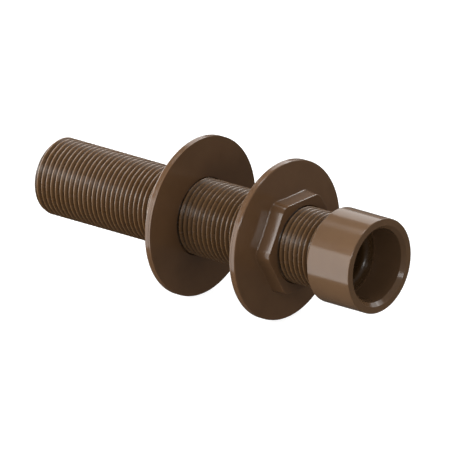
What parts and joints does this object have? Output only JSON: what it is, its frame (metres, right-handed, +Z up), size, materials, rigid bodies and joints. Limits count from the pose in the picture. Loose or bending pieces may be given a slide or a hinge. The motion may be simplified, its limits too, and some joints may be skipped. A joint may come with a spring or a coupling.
{
  "type": "thru hull fitting",
  "caption": "Plastic thru hull fitting: long threaded barrel with a plain pipe socket outside the hull, clamped through it by two flanged nuts with slip washers and a rubber gasket.",
  "frame": {"origin": "on the fitting's axis, in the plane of the hull's outer face, which is the hull side of the sealing gasket", "axes": "+X along the axis, out of the hull towards the pipe socket; +Z up"},
  "size_m": [0.1766, 0.0692, 0.0692],
  "materials": {
    "barrel_plastic": "moulded brown plastic, satin",
    "socket_plastic": "moulded brown plastic, satin gloss",
    "nut_plastic": "moulded brown plastic, satin",
    "washer_plastic": "moulded brown plastic, satin",
    "gasket_rubber": "matt black rubber"
  },
  "bodies": {
    "fitting": {"threaded_barrel": "barrel_plastic", "pipe_socket": "socket_plastic"},
    "front_ring": {"front_slip_washer": "washer_plastic", "sealing_gasket": "gasket_rubber"},
    "front_nut": {"front_nut": "nut_plastic"},
    "rear_ring": {"rear_slip_washer": "washer_plastic"},
    "rear_nut": {"rear_nut": "nut_plastic"}
  },
  "joints": [
    {"name": "front_ring_slide", "type": "slide", "parent": "fitting", "child": "front_ring", "axis": [1, 0, 0], "range_m": [-0.01757, 0.01757]},
    {"name": "front_nut_turn", "type": "hinge", "parent": "front_ring", "child": "front_nut", "pos_m": [0.008, 0, 0], "axis": [1, 0, 0], "range_deg": [-2520, 2520]},
    {"name": "rear_ring_slide", "type": "slide", "parent": "fitting", "child": "rear_ring", "axis": [1, 0, 0], "range_m": [-0.06275, 0.01757]},
    {"name": "rear_nut_turn", "type": "hinge", "parent": "rear_ring", "child": "rear_nut", "pos_m": [-0.046, 0, 0], "axis": [1, 0, 0], "range_deg": [-9000, 2520]}
  ],
  "couplings": [
    {"joint": "front_nut_turn", "follows": "front_ring_slide", "rad_per_m": 2503.3},
    {"joint": "rear_nut_turn", "follows": "rear_ring_slide", "rad_per_m": 2503.3}
  ]
}
